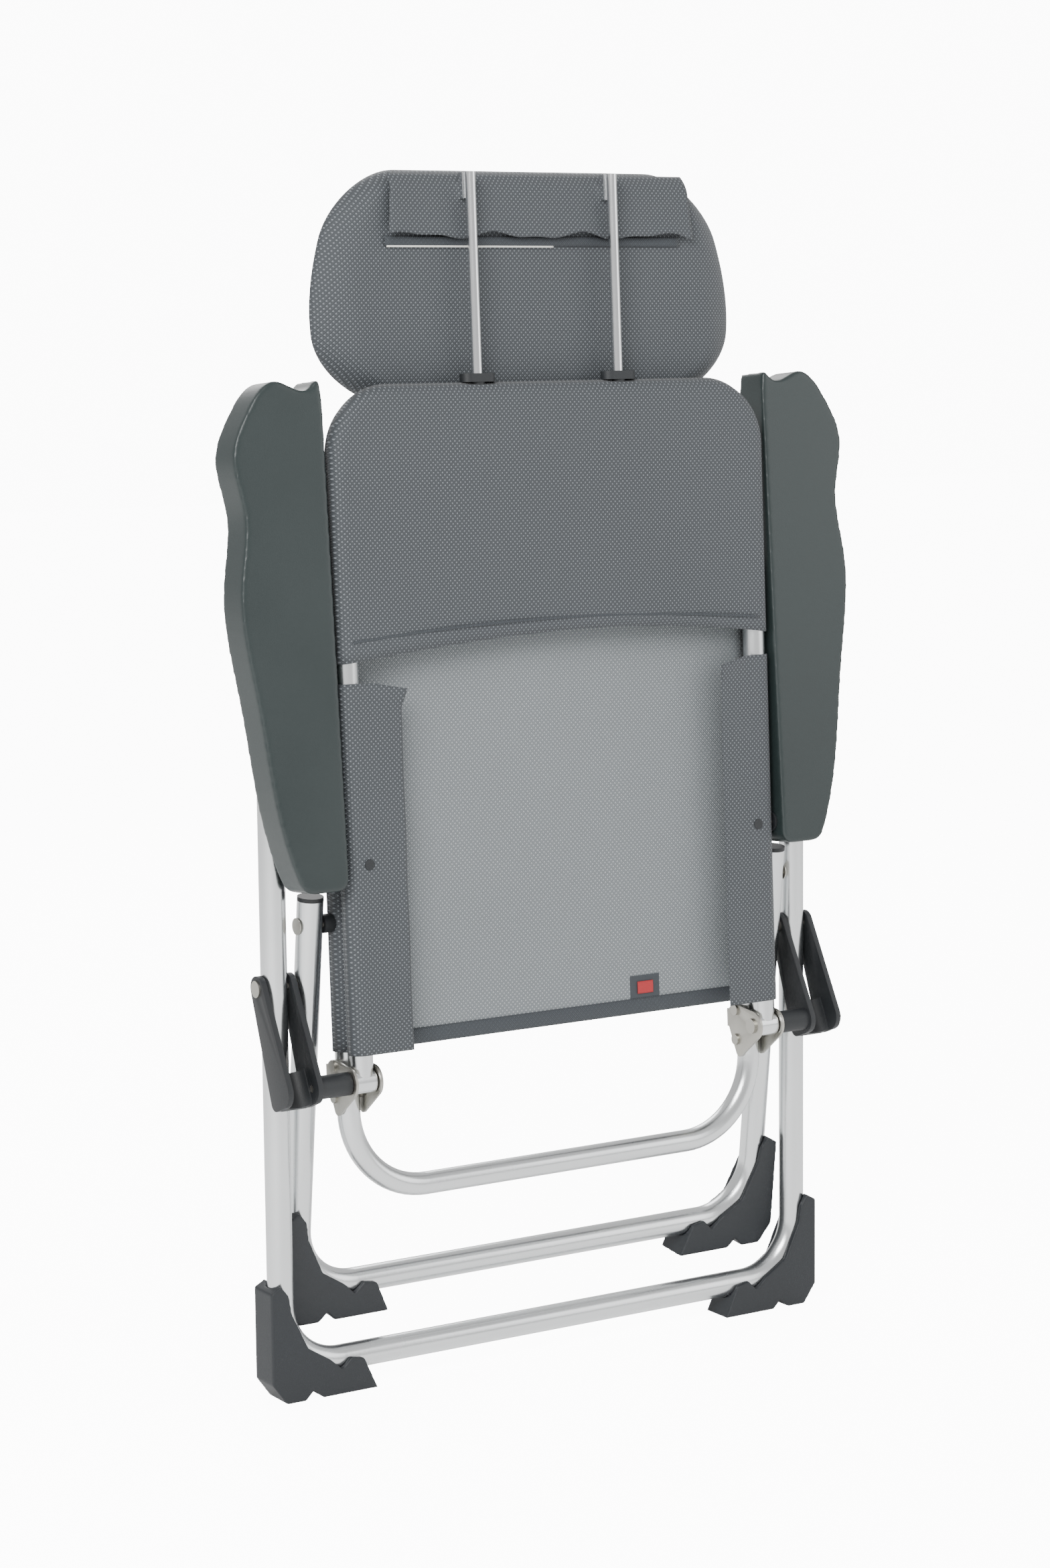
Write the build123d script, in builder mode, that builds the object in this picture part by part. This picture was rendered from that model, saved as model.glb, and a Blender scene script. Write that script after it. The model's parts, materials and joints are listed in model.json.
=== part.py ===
"""Folding camp chair, folded flat on its outer leg frame. Millimetres, +Z up, +Y the chair's front."""

import os
from math import cos, radians, sin

from build123d import *

os.makedirs("parts", exist_ok=True)

# ---------------------------------------------------------------- driving dimensions
LEG_TUBE_R = 12.5  # both leg frames
FRAME_TUBE_R = 11.0  # seat and backrest frames
TUBE_WALL = 1.5
LEG_BEND_R = 62.0  # bottom corners of the leg frames

OUTER_LEG_X = 298.0  # tube centre, from the middle plane
OUTER_LEG_TOP_Z = 718.0
OUTER_LEG_KINK_Z = 655.0  # where the legs turn inboard
OUTER_LEG_TOP_INSET = 18.0
RACK_PIN_DROP = 16.0  # cross pin below the top of the leg
RACK_PIN_REACH = 5.0
BAR_Z = 30.0  # centre of the floor bar above the sole

LANE_GAP = 2.0  # side gap between things that swing past each other
LINK_ARM_T = 5.5  # fork arm thickness
LINK_FIT = 0.5  # fork arm to leg tube
LINK_PIVOT_Z = 396.0
LINK_DROP = 90.0  # hinge below the fork's rivet
LINK_BACK = 45.0  # hinge behind the fork's rivet
LINK_BOSS_R = 11.0
RIVET_R = 4.0
PIN_R = 4.0
RUN_FIT = 0.05  # radial clearance of a pivot

FRAME_X = 231.0  # seat and backrest tube centres, from the middle plane
BRACKET_T = 2.5
BRACKET_FIT = 1.0
FOLDED_LEAN = 2.5  # degrees, top of the folded seat and backrest towards the front

COVER_CLEAR = 1.9  # seat cover to backrest cover when folded
SEAT_TOP = 478.0  # front edge of the seat, along the seat from the hinge
SEAT_LOOP = 112.0  # rear loop of the seat frame, past the hinge
SEAT_BEND_R = 80.0

INNER_PIVOT = 148.0  # inner leg pivot, along the seat from the hinge
INNER_LEG_DROP = 362.0  # inner leg pivot to the middle of its bar
INNER_LEG_STUB = 24.0  # tube above the pivot
INNER_LEG_LEAN = -6.6

BACK_TOP = 633.0  # top tube of the backrest, along it from the hinge
BACK_BEND_R = 52.0
CLOTH_T = 2.0
CLOTH_GAP = 0.3  # mesh to tube
POCKET_DEPTH = 240.0
HEM_W = 38.0
HEM_TOP = 372.0
CLOTH_BOTTOM = 26.0

ARM_PIVOT = 204.0  # armrest pivot, along the backrest from the hinge
ARM_LEN = 446.0  # beyond the pivot
ARM_TAIL = 22.0  # before the pivot
ARM_REAR = 20.0  # top face of the armrest behind its pivot
ARM_FRONT = 20.0  # its open underside in front of the pivot
ARM_WALL = 4.0
ARM_LEAN = 4.6
ARM_GAP = 3.0  # backrest cloth to armrest

ROD_X = 79.0
ROD_R = 5.0
ROD_TAIL = 62.0  # below the top tube
ROD_TOP = 208.0  # above it
HEAD_LOW = -6.0  # bottom of the headrest pad from the backrest's top tube
HEAD_HIGH = 212.0
FLAP_LOW = 150.0
HEAD_HALF_W = 242.0
HEAD_TOP_HALF_W = 187.0
HEAD_T = 52.0
FLAP_T = 3.0
FLAP_GAP = 13.0  # flap behind it, from the rods' plane

FOOT_WALL = 5.5  # front and rear of the leg tube
FOOT_FIT = 0.15

FOOT_OUT_WALL = 6.0  # outboard of the leg tube
FOOT_ARM_TOP = 84.0  # tip of the upright arm above the bar centre
FOOT_PAD = 94.0  # end of the pad inboard of the leg centre
FOOT_NOTCH_X = 56.0  # V in the upper edge
FOOT_ARCH_X = 26.0  # arch between the corner boss and the pad
FOOT_ARCH_R = 9.0
LINK_TIP_R = 12.0
LINK_HEEL_R = 14.5
CRADLE_START = 80.0  # block between the arms, along the fork from the rivet
CRADLE_END = 114.0
CRADLE_DEPTH = 24.0
RIVET_HEAD_T = 1.5
BRACKET_NOSE_R = 15.0
BRACKET_TIP = -34.0
BRACKET_RIVET_R = 3.0
BRACKET_RIVETS = (-17.0, 13.0)  # along the seat tube
SEAT_FRONT_R = 48.0
BOLT_HEAD_T = 1.5
CAP_PLUG = 6.0
BACK_TUBE_START = 13.0
BUSH_WALL = 2.0
ROD_BUSH_WALL = 2.0
LABEL_SIZE = (34.0, 24.0, 0.8)
ARM_CORNER_R = 12.0
BOLT_NUT_T = 5.0
ARM_BUSH_WALL = 3.0
RACK_T = 2.4
RACK_NOTCHES = 5
RACK_PITCH = 26.0
RACK_START = 176.0
RACK_DEPTH = 16.0
TAB_LEN = 24.0


def member_plane(y, z, lean):
    """Frame of one folded member: X across, Y up along it, Z towards the chair's rear."""
    return Plane(
        origin=(0, y, z),
        x_dir=(1, 0, 0),
        z_dir=(0, -cos(radians(lean)), sin(radians(lean))),
    )


def local_point(plane, along, rearward=0):
    """World (y, z) of a point of a member's frame."""
    point = plane.from_local_coords((0, along, rearward))
    return point.Y, point.Z


SEAT_OFFSET = 2 * (FRAME_TUBE_R + CLOTH_GAP + CLOTH_T) + COVER_CLEAR
HINGE_Y = -LINK_BACK
HINGE_Z = LINK_PIVOT_Z - LINK_DROP
LEG = member_plane(0, 0, 0)
BACK = member_plane(HINGE_Y, HINGE_Z, FOLDED_LEAN)
SEAT = BACK.offset(-SEAT_OFFSET)
inner_y, inner_z = local_point(SEAT, INNER_PIVOT)
INNER = member_plane(inner_y, inner_z, INNER_LEG_LEAN)
arm_y, arm_z = local_point(BACK, ARM_PIVOT)
ARM = member_plane(arm_y, arm_z, ARM_LEAN)

BRACKET_HALF_GAP = FRAME_TUBE_R + BRACKET_FIT
BRACKET_OUT = FRAME_X + BRACKET_HALF_GAP + BRACKET_T
BRACKET_IN = FRAME_X - BRACKET_HALF_GAP - BRACKET_T
LINK_IN = OUTER_LEG_X - LEG_TUBE_R - LINK_FIT - LINK_ARM_T
LINK_OUT = OUTER_LEG_X + LEG_TUBE_R + LINK_FIT + LINK_ARM_T
INNER_LEG_X = LINK_IN - LANE_GAP - LEG_TUBE_R
CLOTH_OUT = FRAME_X + FRAME_TUBE_R + CLOTH_T
ARM_IN = CLOTH_OUT + ARM_GAP
FOOT_HALF_T = LEG_TUBE_R + FOOT_WALL
FOOT_OUT = LEG_TUBE_R + FOOT_OUT_WALL
BUSH_R = PIN_R + BUSH_WALL
ARM_BUSH_R = PIN_R + ARM_BUSH_WALL
ROD_BUSH_R = ROD_R + ROD_BUSH_WALL
SIDES = (("left", -1), ("right", 1))


def cross_plane(x):
    """Sketch plane square to X: local X along +Y, local Y along +Z."""
    return Plane(origin=(x, 0, 0), x_dir=(0, 1, 0), z_dir=(1, 0, 0))


def tube_profile_plane(path):
    """Plane square to the start of a path."""
    return Plane(origin=path @ 0, z_dir=path % 0)


def x_cylinder(x_from, x_to, y, z, radius, mode=Mode.ADD):
    """Round bar along X between two stations, in the current part."""
    middle = (x_from + x_to) / 2
    with Locations(Location((middle, y, z), (0, 90, 0))):
        Cylinder(radius, abs(x_to - x_from), mode=mode)


# ---------------------------------------------------------------- outer leg frame
outer_top_x = OUTER_LEG_X - OUTER_LEG_TOP_INSET
with BuildLine(LEG) as outer_leg_path:
    FilletPolyline(
        (-outer_top_x, OUTER_LEG_TOP_Z),
        (-OUTER_LEG_X, OUTER_LEG_KINK_Z),
        (-OUTER_LEG_X, BAR_Z),
        (OUTER_LEG_X, BAR_Z),
        (OUTER_LEG_X, OUTER_LEG_KINK_Z),
        (outer_top_x, OUTER_LEG_TOP_Z),
        radius=LEG_BEND_R,
    )
outer_leg_wire = outer_leg_path.wire()
rack_pin_z = OUTER_LEG_TOP_Z - RACK_PIN_DROP
rack_pin_in = outer_top_x - LEG_TUBE_R - RACK_PIN_REACH
rack_pin_out = OUTER_LEG_X

with BuildPart() as outer_leg_tube:
    with BuildSketch(tube_profile_plane(outer_leg_wire)):
        Circle(LEG_TUBE_R)
        Circle(LEG_TUBE_R - TUBE_WALL, mode=Mode.SUBTRACT)
    sweep(path=outer_leg_wire)
    for _, side in SIDES:
        near = side * (OUTER_LEG_X - LEG_TUBE_R - TUBE_WALL)
        far = side * (OUTER_LEG_X + LEG_TUBE_R + TUBE_WALL)
        x_cylinder(side * rack_pin_in, side * rack_pin_out, 0, rack_pin_z, PIN_R, Mode.SUBTRACT)
        x_cylinder(near, far, 0, LINK_PIVOT_Z, RIVET_R + RUN_FIT, Mode.SUBTRACT)
outer_leg_tube.part.label = "outer_leg_tube"
export_step(outer_leg_tube.part, "parts/outer_leg_tube.step")

with BuildPart() as outer_leg_core:
    with BuildSketch(tube_profile_plane(outer_leg_wire)):
        Circle(LEG_TUBE_R + FOOT_FIT)
    sweep(path=outer_leg_wire)

# ---------------------------------------------------------------- inner leg frame
with BuildLine(INNER) as inner_leg_path:
    FilletPolyline(
        (-INNER_LEG_X, INNER_LEG_STUB),
        (-INNER_LEG_X, -INNER_LEG_DROP),
        (INNER_LEG_X, -INNER_LEG_DROP),
        (INNER_LEG_X, INNER_LEG_STUB),
        radius=LEG_BEND_R,
    )
inner_leg_wire = inner_leg_path.wire()

with BuildPart() as inner_leg_tube:
    with BuildSketch(tube_profile_plane(inner_leg_wire)):
        Circle(LEG_TUBE_R)
        Circle(LEG_TUBE_R - TUBE_WALL, mode=Mode.SUBTRACT)
    sweep(path=inner_leg_wire)
    for _, side in SIDES:
        near = side * (INNER_LEG_X - LEG_TUBE_R - TUBE_WALL)
        far = side * (INNER_LEG_X + LEG_TUBE_R + TUBE_WALL)
        x_cylinder(near, far, inner_y, inner_z, PIN_R + RUN_FIT, Mode.SUBTRACT)
inner_leg_tube.part.label = "inner_leg_tube"
export_step(inner_leg_tube.part, "parts/inner_leg_tube.step")

with BuildPart() as inner_leg_core:
    with BuildSketch(tube_profile_plane(inner_leg_wire)):
        Circle(LEG_TUBE_R + FOOT_FIT)
    sweep(path=inner_leg_wire)


# ---------------------------------------------------------------- corner feet


def make_foot(plane, leg_x, bar_level, side, core):
    """Moulded corner shoe around one bottom bend of a leg frame."""
    sole = bar_level - BAR_Z
    outer = leg_x + FOOT_OUT
    with BuildPart() as foot:
        with BuildSketch(plane):
            with BuildLine():
                Polyline(
                    (side * (leg_x - FOOT_PAD), sole),
                    (side * (leg_x - FOOT_ARCH_X - FOOT_ARCH_R), sole),
                    (side * (leg_x - FOOT_ARCH_X), sole + FOOT_ARCH_R),
                    (side * (leg_x - FOOT_ARCH_X + FOOT_ARCH_R), sole),
                    (side * (leg_x + 4), sole),
                    (side * outer, sole + 20),
                    (side * outer, bar_level + FOOT_ARM_TOP - 6),
                    (side * (leg_x + 8), bar_level + FOOT_ARM_TOP),
                    (side * leg_x, bar_level + FOOT_ARM_TOP - 10),
                    (side * (leg_x - 3), bar_level + LEG_BEND_R - 6),
                    (side * (leg_x - 20), bar_level + 20),
                    (side * (leg_x - FOOT_NOTCH_X + 12), bar_level + 5),
                    (side * (leg_x - FOOT_NOTCH_X), bar_level - 6),
                    (side * (leg_x - FOOT_NOTCH_X - 10), bar_level + 4),
                    (side * (leg_x - FOOT_PAD + 14), bar_level + 1),
                    close=True,
                )
            make_face()
        extrude(amount=FOOT_HALF_T, both=True)
        add(core.part, mode=Mode.SUBTRACT)
    return foot


for name, side in SIDES:
    foot = make_foot(LEG, OUTER_LEG_X, BAR_Z, side, outer_leg_core)
    foot.part.label = f"outer_foot_{name}"
    export_step(foot.part, f"parts/outer_foot_{name}.step")
    foot = make_foot(INNER, INNER_LEG_X, -INNER_LEG_DROP, side, inner_leg_core)
    foot.part.label = f"inner_foot_{name}"
    export_step(foot.part, f"parts/inner_foot_{name}.step")


# ---------------------------------------------------------------- side links
link_length = (LINK_DROP**2 + LINK_BACK**2) ** 0.5
link_dir = Vector(0, -LINK_BACK / link_length, -LINK_DROP / link_length)
link_side = Vector(0, LINK_DROP / link_length, -LINK_BACK / link_length)


def link_point(along, across):
    """World (y, z) of a point of the fork: along it from the rivet, across it towards the chair's front."""
    return (
        link_dir.Y * along + link_side.Y * across,
        LINK_PIVOT_Z + link_dir.Z * along + link_side.Z * across,
    )


for name, side in SIDES:
    near = min(side * LINK_IN, side * LINK_OUT)
    inner_face = side * (LINK_IN + LINK_ARM_T)
    with BuildPart() as link:
        for start in (near, near + (LINK_OUT - LINK_IN) - LINK_ARM_T):
            with BuildSketch(cross_plane(start)):
                with Locations(link_point(0, 0)):
                    Circle(LINK_TIP_R)
                with Locations(link_point(link_length, 0)):
                    Circle(LINK_HEEL_R)
                with Locations(link_point(CRADLE_END - 8, CRADLE_DEPTH - 8)):
                    Circle(8)
                make_hull()
            extrude(amount=LINK_ARM_T)
        with BuildSketch(cross_plane(near + LINK_ARM_T)):
            Polygon(
                link_point(CRADLE_START, CRADLE_DEPTH - 9),
                link_point(CRADLE_START, CRADLE_DEPTH - 13),
                link_point(CRADLE_START, 4),
                link_point(CRADLE_END, 4),
                link_point(CRADLE_END, CRADLE_DEPTH - 5),
                link_point(CRADLE_END - 5, CRADLE_DEPTH),
                link_point(CRADLE_START + 12, CRADLE_DEPTH - 3),
                align=None,
            )
        extrude(amount=LINK_OUT - LINK_IN - 2 * LINK_ARM_T)
        cradle_y, cradle_z = link_point((CRADLE_START + CRADLE_END) / 2, 0)
        with Locations(Plane(origin=(side * OUTER_LEG_X, cradle_y, cradle_z), z_dir=link_dir)):
            Cylinder(LEG_TUBE_R + LINK_FIT - 0.1, CRADLE_END - CRADLE_START + 20, mode=Mode.SUBTRACT)
        x_cylinder(side * (BRACKET_OUT + BRACKET_FIT), inner_face, HINGE_Y, HINGE_Z, LINK_BOSS_R)
        x_cylinder(side * BRACKET_OUT, inner_face, HINGE_Y, HINGE_Z, PIN_R + RUN_FIT, Mode.SUBTRACT)
        x_cylinder(side * LINK_IN, side * LINK_OUT, 0, LINK_PIVOT_Z, RIVET_R, Mode.SUBTRACT)
    link.part.label = f"side_link_{name}"
    export_step(link.part, f"parts/side_link_{name}.step")

with BuildPart() as link_rivets:
    for _, side in SIDES:
        x_cylinder(side * LINK_IN, side * LINK_OUT, 0, LINK_PIVOT_Z, RIVET_R)
        x_cylinder(side * (LINK_IN - RIVET_HEAD_T), side * LINK_IN, 0, LINK_PIVOT_Z, RIVET_R * 2)
        x_cylinder(side * LINK_OUT, side * (LINK_OUT + RIVET_HEAD_T), 0, LINK_PIVOT_Z, RIVET_R * 2)
link_rivets.part.label = "link_rivets"
export_step(link_rivets.part, "parts/link_rivets.step")

# ---------------------------------------------------------------- hinge brackets
web_rearward = -SEAT_OFFSET - FRAME_TUBE_R - BRACKET_FIT - BRACKET_T / 2

for name, side in SIDES:
    near = min(side * BRACKET_IN, side * BRACKET_OUT)
    width = BRACKET_OUT - BRACKET_IN
    with BuildPart() as bracket:
        for start in (near, near + width - BRACKET_T):
            with BuildSketch(cross_plane(start)):
                with Locations(local_point(BACK, 0)):
                    Circle(BRACKET_NOSE_R)
                with Locations(local_point(BACK, 4, -SEAT_OFFSET)):
                    Circle(BRACKET_NOSE_R - 0.5)
                with Locations(local_point(BACK, BRACKET_TIP + 6, -SEAT_OFFSET + 5)):
                    Circle(6)
                make_hull()
            extrude(amount=BRACKET_T)
        web_y, web_z = local_point(BACK, 4, web_rearward)
        with Locations(Plane(origin=(side * FRAME_X, web_y, web_z), x_dir=(1, 0, 0), z_dir=BACK.z_dir)):
            Box(width, 18, BRACKET_T)
        x_cylinder(side * BRACKET_IN, side * BRACKET_OUT, HINGE_Y, HINGE_Z, PIN_R, Mode.SUBTRACT)
        for along in BRACKET_RIVETS:
            rivet_y, rivet_z = local_point(SEAT, along)
            near, far = side * BRACKET_IN, side * BRACKET_OUT
            x_cylinder(near, far, rivet_y, rivet_z, BRACKET_RIVET_R, Mode.SUBTRACT)
    bracket.part.label = f"hinge_bracket_{name}"
    export_step(bracket.part, f"parts/hinge_bracket_{name}.step")

with BuildPart() as bracket_rivets:
    for _, side in SIDES:
        for along in BRACKET_RIVETS:
            rivet_y, rivet_z = local_point(SEAT, along)
            x_cylinder(side * BRACKET_IN, side * BRACKET_OUT, rivet_y, rivet_z, BRACKET_RIVET_R)
            x_cylinder(side * (BRACKET_IN - 2), side * BRACKET_IN, rivet_y, rivet_z, BRACKET_RIVET_R + 2.5)
            outer_head = side * (BRACKET_OUT + 2)
            x_cylinder(side * BRACKET_OUT, outer_head, rivet_y, rivet_z, BRACKET_RIVET_R + 2.5)
bracket_rivets.part.label = "bracket_rivets"
export_step(bracket_rivets.part, "parts/bracket_rivets.step")

with BuildPart() as hinge_pins:
    for _, side in SIDES:
        x_cylinder(side * (BRACKET_IN - 2.5), side * BRACKET_IN, HINGE_Y, HINGE_Z, PIN_R + 3.5)
        x_cylinder(side * BRACKET_IN, side * (LINK_IN + LINK_ARM_T - 1), HINGE_Y, HINGE_Z, PIN_R)
hinge_pins.part.label = "hinge_pins"
export_step(hinge_pins.part, "parts/hinge_pins.step")

# ---------------------------------------------------------------- seat
with BuildLine(SEAT) as seat_path:
    FilletPolyline(
        (0, SEAT_TOP),
        (-FRAME_X, SEAT_TOP),
        (-FRAME_X, -SEAT_LOOP),
        (FRAME_X, -SEAT_LOOP),
        (FRAME_X, SEAT_TOP),
        (0, SEAT_TOP),
        radius=(0, SEAT_FRONT_R, SEAT_BEND_R, SEAT_BEND_R, SEAT_FRONT_R),
        close=True,
    )
seat_wire = seat_path.wire()

with BuildPart() as seat_frame_tube:
    with BuildSketch(tube_profile_plane(seat_wire)):
        Circle(FRAME_TUBE_R)
        Circle(FRAME_TUBE_R - TUBE_WALL, mode=Mode.SUBTRACT)
    sweep(path=seat_wire)
    for _, side in SIDES:
        near = side * (FRAME_X - FRAME_TUBE_R - TUBE_WALL)
        far = side * (FRAME_X + FRAME_TUBE_R + TUBE_WALL)
        for along in BRACKET_RIVETS:
            rivet_y, rivet_z = local_point(SEAT, along)
            x_cylinder(near, far, rivet_y, rivet_z, BRACKET_RIVET_R, Mode.SUBTRACT)
        x_cylinder(near, far, inner_y, inner_z, PIN_R, Mode.SUBTRACT)
seat_frame_tube.part.label = "seat_frame_tube"
export_step(seat_frame_tube.part, "parts/seat_frame_tube.step")

cloth_half_w = FRAME_X + FRAME_TUBE_R


def cloth_sheet(plane, low, high, corner_r):
    """Flat sheet of mesh with rounded upper corners, lying on a member's plane."""
    with BuildPart() as sheet:
        with BuildSketch(plane) as outline:
            with Locations((0, (low + high) / 2)):
                Rectangle(2 * cloth_half_w, high - low)
            fillet(outline.vertices().group_by(Axis.Y)[-1], corner_r)
        extrude(amount=CLOTH_T)
    return sheet


seat_mesh = cloth_sheet(
    SEAT.offset(FRAME_TUBE_R + CLOTH_GAP), CLOTH_BOTTOM, SEAT_TOP + FRAME_TUBE_R, SEAT_FRONT_R + FRAME_TUBE_R
)
seat_mesh.part.label = "seat_mesh"
export_step(seat_mesh.part, "parts/seat_mesh.step")

with BuildPart() as inner_leg_bolts:
    for _, side in SIDES:
        inboard = FRAME_X - FRAME_TUBE_R - BOLT_HEAD_T
        outboard = INNER_LEG_X + LEG_TUBE_R
        x_cylinder(side * inboard, side * (outboard + 0.3), inner_y, inner_z, PIN_R)
        x_cylinder(side * (inboard - 1), side * (inboard + 0.5), inner_y, inner_z, PIN_R * 2)
        x_cylinder(side * (outboard + 0.3), side * (outboard + BOLT_HEAD_T), inner_y, inner_z, PIN_R * 2)
inner_leg_bolts.part.label = "inner_leg_bolts"
export_step(inner_leg_bolts.part, "parts/inner_leg_bolts.step")

with BuildPart() as inner_leg_spacers:
    for _, side in SIDES:
        from_x = side * (FRAME_X + FRAME_TUBE_R)
        to_x = side * (INNER_LEG_X - LEG_TUBE_R - 0.3)
        x_cylinder(from_x, to_x, inner_y, inner_z, PIN_R + 5)
        x_cylinder(from_x, to_x, inner_y, inner_z, PIN_R, Mode.SUBTRACT)
inner_leg_spacers.part.label = "inner_leg_spacers"
export_step(inner_leg_spacers.part, "parts/inner_leg_spacers.step")


# ---------------------------------------------------------------- tube end caps and rack pins


def end_caps(wire, tube_r, head_t):
    """Moulded caps in the two open ends of a leg frame."""
    with BuildPart() as caps:
        for position, turn in ((0, -1), (1, 1)):
            with BuildSketch(Plane(origin=wire @ position, z_dir=(wire % position) * turn)):
                Circle(tube_r)
            extrude(amount=head_t)
            with BuildSketch(Plane(origin=wire @ position, z_dir=(wire % position) * -turn)):
                Circle(tube_r - TUBE_WALL)
            extrude(amount=CAP_PLUG)
    return caps


outer_leg_caps = end_caps(outer_leg_wire, LEG_TUBE_R, 5)
outer_leg_caps.part.label = "outer_leg_caps"
export_step(outer_leg_caps.part, "parts/outer_leg_caps.step")
inner_leg_caps = end_caps(inner_leg_wire, LEG_TUBE_R, 4)
inner_leg_caps.part.label = "inner_leg_caps"
export_step(inner_leg_caps.part, "parts/inner_leg_caps.step")

with BuildPart() as rack_pins:
    for _, side in SIDES:
        x_cylinder(side * rack_pin_in, side * rack_pin_out, 0, rack_pin_z, PIN_R)
rack_pins.part.label = "rack_pins"
export_step(rack_pins.part, "parts/rack_pins.step")

# ---------------------------------------------------------------- backrest
with BuildLine(BACK) as back_path:
    FilletPolyline(
        (-FRAME_X, BACK_TUBE_START),
        (-FRAME_X, BACK_TOP),
        (FRAME_X, BACK_TOP),
        (FRAME_X, BACK_TUBE_START),
        radius=BACK_BEND_R,
    )
back_wire = back_path.wire()

with BuildPart() as back_frame_tube:
    with BuildSketch(tube_profile_plane(back_wire)):
        Circle(FRAME_TUBE_R)
        Circle(FRAME_TUBE_R - TUBE_WALL, mode=Mode.SUBTRACT)
    sweep(path=back_wire)
    for _, side in SIDES:
        reach = FRAME_TUBE_R + TUBE_WALL
        x_cylinder(side * (FRAME_X - reach), side * (FRAME_X + reach), arm_y, arm_z, PIN_R, Mode.SUBTRACT)
        with Locations(BACK * Location((side * ROD_X, BACK_TOP, 0), (90, 0, 0))):
            Cylinder(ROD_BUSH_R, 4 * FRAME_TUBE_R, mode=Mode.SUBTRACT)
back_frame_tube.part.label = "back_frame_tube"
export_step(back_frame_tube.part, "parts/back_frame_tube.step")

with BuildPart() as back_tube_ends:
    for _, side in SIDES:
        eye = (side * (FRAME_X - FRAME_TUBE_R + 0.5), side * (FRAME_X + FRAME_TUBE_R - 0.5))
        x_cylinder(*eye, HINGE_Y, HINGE_Z, FRAME_TUBE_R)
        with Locations(BACK * Location((side * FRAME_X, BACK_TUBE_START - 4, 0), (90, 0, 0))):
            Cylinder(FRAME_TUBE_R - 0.5, 8)
        with Locations(BACK * Location((side * FRAME_X, BACK_TUBE_START + 8, 0), (90, 0, 0))):
            Cylinder(FRAME_TUBE_R - TUBE_WALL, 16)
        x_cylinder(*eye, HINGE_Y, HINGE_Z, BUSH_R + RUN_FIT, Mode.SUBTRACT)
back_tube_ends.part.label = "back_tube_ends"
export_step(back_tube_ends.part, "parts/back_tube_ends.step")

with BuildPart() as back_hinge_bushes:
    for _, side in SIDES:
        bush = (side * (FRAME_X - FRAME_TUBE_R - 0.5), side * (FRAME_X + FRAME_TUBE_R + 0.5))
        x_cylinder(*bush, HINGE_Y, HINGE_Z, BUSH_R)
        x_cylinder(*bush, HINGE_Y, HINGE_Z, PIN_R + RUN_FIT, Mode.SUBTRACT)
back_hinge_bushes.part.label = "back_hinge_bushes"
export_step(back_hinge_bushes.part, "parts/back_hinge_bushes.step")

front_face = BACK.offset(-FRAME_TUBE_R - CLOTH_GAP - CLOTH_T)
rear_face = BACK.offset(FRAME_TUBE_R + CLOTH_GAP)
back_high = BACK_TOP + FRAME_TUBE_R
corner = BACK_BEND_R + FRAME_TUBE_R
back_mesh = cloth_sheet(front_face, CLOTH_BOTTOM, back_high, corner)
back_mesh.part.label = "back_mesh"
export_step(back_mesh.part, "parts/back_mesh.step")
back_pocket = cloth_sheet(rear_face, BACK_TOP - POCKET_DEPTH, back_high, corner)
back_pocket.part.label = "back_pocket"
export_step(back_pocket.part, "parts/back_pocket.step")

for name, side in SIDES:
    with BuildPart() as hem:
        with BuildSketch(rear_face):
            with Locations((side * (cloth_half_w - HEM_W / 2), (CLOTH_BOTTOM + HEM_TOP) / 2)):
                Rectangle(HEM_W, HEM_TOP - CLOTH_BOTTOM)
        extrude(amount=CLOTH_T)
    hem.part.label = f"back_hem_{name}"
    export_step(hem.part, f"parts/back_hem_{name}.step")

with BuildPart() as care_label:
    with Locations(BACK * Location((96, CLOTH_BOTTOM + 26, -FRAME_TUBE_R - CLOTH_GAP + LABEL_SIZE[2] / 2))):
        Box(*LABEL_SIZE)
care_label.part.label = "care_label"
export_step(care_label.part, "parts/care_label.step")

# ---------------------------------------------------------------- armrests
lug_out = ARM_IN + ARM_WALL


def arm_outline(side, inset=0):
    """Plan of an armrest: straight inboard edge, waisted outboard edge, rounded far end."""
    tail = -ARM_TAIL + inset
    with BuildLine() as outline:
        straight = Line((side * (ARM_IN + inset), ARM_LEN - 40), (side * (ARM_IN + inset), tail))
        end = Line(straight @ 1, (side * (OUTER_LEG_X - 16), tail))
        Spline(
            end @ 1,
            (side * (OUTER_LEG_X + 2 - inset), -ARM_TAIL + 16),
            (side * (OUTER_LEG_X + 32 - inset), ARM_LEN - 291),
            (side * (OUTER_LEG_X + 42 - inset), ARM_LEN - 184),
            (side * (OUTER_LEG_X + 35 - inset), ARM_LEN - 118),
            (side * (OUTER_LEG_X + 43 - inset), ARM_LEN - 68),
            (side * (OUTER_LEG_X + 27 - inset), ARM_LEN - 28 - inset / 2),
            (side * (OUTER_LEG_X - 6), ARM_LEN - inset),
            (side * (OUTER_LEG_X - 36), ARM_LEN - 8 - inset),
            straight @ 0,
            tangents=((side, 0), (0, -1)),
        )
    return outline.edges()


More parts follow.
